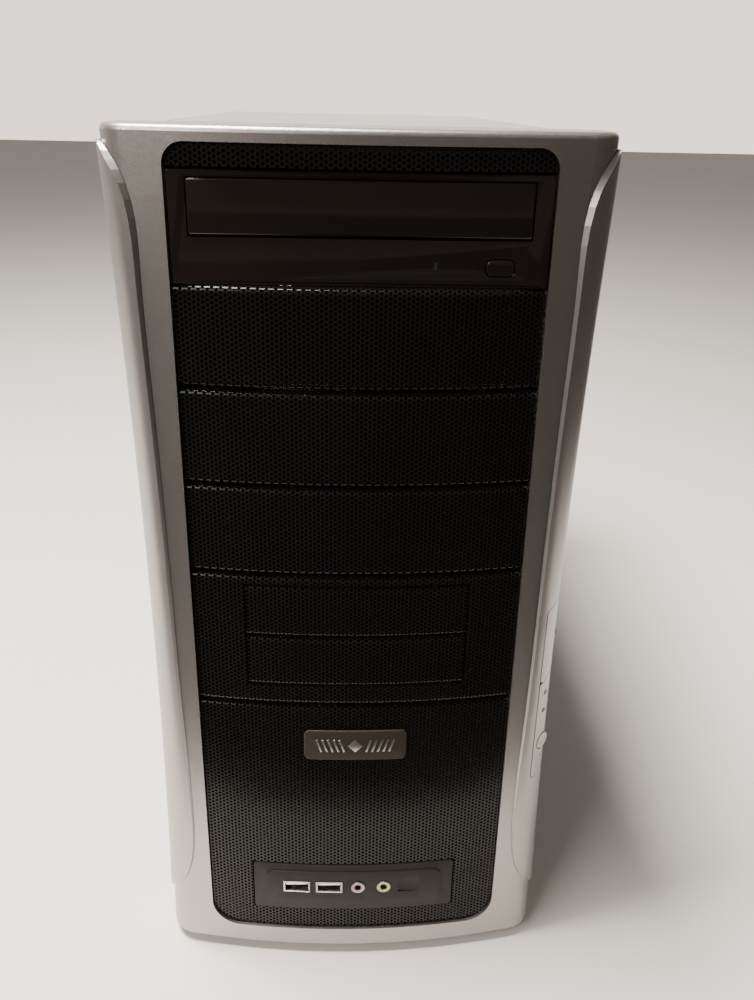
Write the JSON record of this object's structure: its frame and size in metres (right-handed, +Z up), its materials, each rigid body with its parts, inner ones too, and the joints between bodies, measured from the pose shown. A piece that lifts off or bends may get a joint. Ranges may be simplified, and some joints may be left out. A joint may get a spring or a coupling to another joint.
{
  "type": "desktop computer tower",
  "caption": "Mid-tower desktop computer: bowed silver bezel, black mesh bays, optical drive with sliding tray, front ports, push buttons, sheet steel chassis and boards.",
  "frame": {"origin": "on the floor under the middle of the whole tower", "axes": "+Z up, front faces -Y, +X to the right seen from the front"},
  "size_m": [0.2056, 0.4803, 0.42],
  "materials": {
    "silver_paint": "satin silver paint on moulded plastic",
    "black_mesh": "perforated sheet, satin black",
    "foam": "open cell foam",
    "charcoal_plastic": "fine grain",
    "bright_metal": "nickel plate",
    "jack_metal": "plated rings",
    "circuit_board": "solder mask",
    "gloss_black": "polished",
    "lens": "moulded lenses",
    "zinc_steel": "zinc plated sheet",
    "black_plastic": "moulded",
    "black_paint": "fine textured powder coat",
    "cast_metal": "cast and milled",
    "port_metal": "plated",
    "foot_rubber": "soft"
  },
  "bodies": {
    "tower": {"front_bezel": "silver_paint", "left_side_trim": "silver_paint", "right_side_trim": "silver_paint", "control_plate": "silver_paint", "top_mesh_strip": "black_mesh", "bay_cover_1": "black_mesh", "bay_cover_2": "black_mesh", "bay_cover_3": "black_mesh", "small_bay_panel": "black_mesh", "small_bay_cover_1": "black_mesh", "small_bay_cover_2": "black_mesh", "lower_mesh_fascia": "black_mesh", "foam_filters": "foam", "port_panel": "charcoal_plastic", "badge_plate": "charcoal_plastic", "usb_sockets": "bright_metal", "cage_screws": "bright_metal", "power_supply_guard": "bright_metal", "headphone_jack": "jack_metal", "microphone_jack": "jack_metal", "front_circuit_boards": "circuit_board", "mainboard": "circuit_board", "graphics_card": "circuit_board", "memory_modules": "circuit_board", "power_supply_board": "circuit_board", "drive_bezel": "gloss_black", "indicator_lights": "lens", "drive_case": "zinc_steel", "drive_cages": "zinc_steel", "chassis_base": "zinc_steel", "chassis_front_wall": "zinc_steel", "chassis_rear_wall": "zinc_steel", "board_tray": "zinc_steel", "power_supply_case": "zinc_steel", "slot_covers": "zinc_steel", "port_shield": "zinc_steel", "drive_mechanism": "black_plastic", "fan_frames": "black_plastic", "mains_inlet": "black_plastic", "board_sockets": "black_plastic", "chassis_roof": "black_paint", "hard_disk": "cast_metal", "board_heatsinks": "cast_metal", "graphics_heatsink": "cast_metal", "rear_ports": "port_metal", "feet": "foot_rubber"},
    "left_side_panel": {"left_side_panel": "black_paint", "left_thumbscrews": "black_paint"},
    "right_side_panel": {"right_side_panel": "black_paint", "right_thumbscrews": "black_paint"},
    "power_button": {"power_button": "silver_paint"},
    "reset_button": {"reset_button": "silver_paint"},
    "eject_button": {"eject_button": "gloss_black"},
    "drive_tray": {"drive_tray": "black_plastic", "drive_tray_front": "gloss_black"},
    "rear_fan_rotor": {"rear_fan_rotor": "black_plastic"},
    "power_supply_fan_rotor": {"power_supply_fan_rotor": "black_plastic"},
    "processor_fan_rotor": {"processor_fan_rotor": "black_plastic"},
    "graphics_fan_rotor": {"graphics_fan_rotor": "black_plastic"},
    "power_switch_rocker": {"power_switch_rocker": "black_plastic"}
  },
  "joints": [
    {"name": "tray_slide", "type": "slide", "parent": "tower", "child": "drive_tray", "axis": [0, -1, 0], "range_m": [0, 0.14]},
    {"name": "eject_button_press", "type": "slide", "parent": "tower", "child": "eject_button", "axis": [0, 1, 0], "range_m": [0, 0.0015], "stiffness_N_per_m": 800},
    {"name": "power_button_press", "type": "slide", "parent": "tower", "child": "power_button", "axis": [-0.7071, 0.7071, 0], "range_m": [0, 0.002], "stiffness_N_per_m": 1000},
    {"name": "reset_button_press", "type": "slide", "parent": "tower", "child": "reset_button", "axis": [-0.7071, 0.7071, 0], "range_m": [0, 0.0012], "stiffness_N_per_m": 800},
    {"name": "left_panel_slide", "type": "slide", "parent": "tower", "child": "left_side_panel", "axis": [0, 1, 0], "range_m": [0, 0.02]},
    {"name": "right_panel_slide", "type": "slide", "parent": "tower", "child": "right_side_panel", "axis": [0, 1, 0], "range_m": [0, 0.02]},
    {"name": "rear_fan_spin", "type": "hinge", "parent": "tower", "child": "rear_fan_rotor", "pos_m": [-0.032, 0.2176, 0.2792], "axis": [0, 1, 0], "continuous": true},
    {"name": "power_supply_fan_spin", "type": "hinge", "parent": "tower", "child": "power_supply_fan_rotor", "pos_m": [-0.038, 0.2166, 0.3742], "axis": [0, 1, 0], "continuous": true},
    {"name": "processor_fan_spin", "type": "hinge", "parent": "tower", "child": "processor_fan_rotor", "pos_m": [0.0264, 0.1451, 0.2508], "axis": [1, 0, 0], "continuous": true},
    {"name": "graphics_fan_spin", "type": "hinge", "parent": "tower", "child": "graphics_fan_rotor", "pos_m": [0.0159, 0.1442, 0.14292], "axis": [0, 0, 1], "continuous": true},
    {"name": "power_switch_rock", "type": "hinge", "parent": "tower", "child": "power_switch_rocker", "pos_m": [0.034, 0.2289, 0.3582], "axis": [1, 0, 0], "range_deg": [-12, 0]}
  ]
}
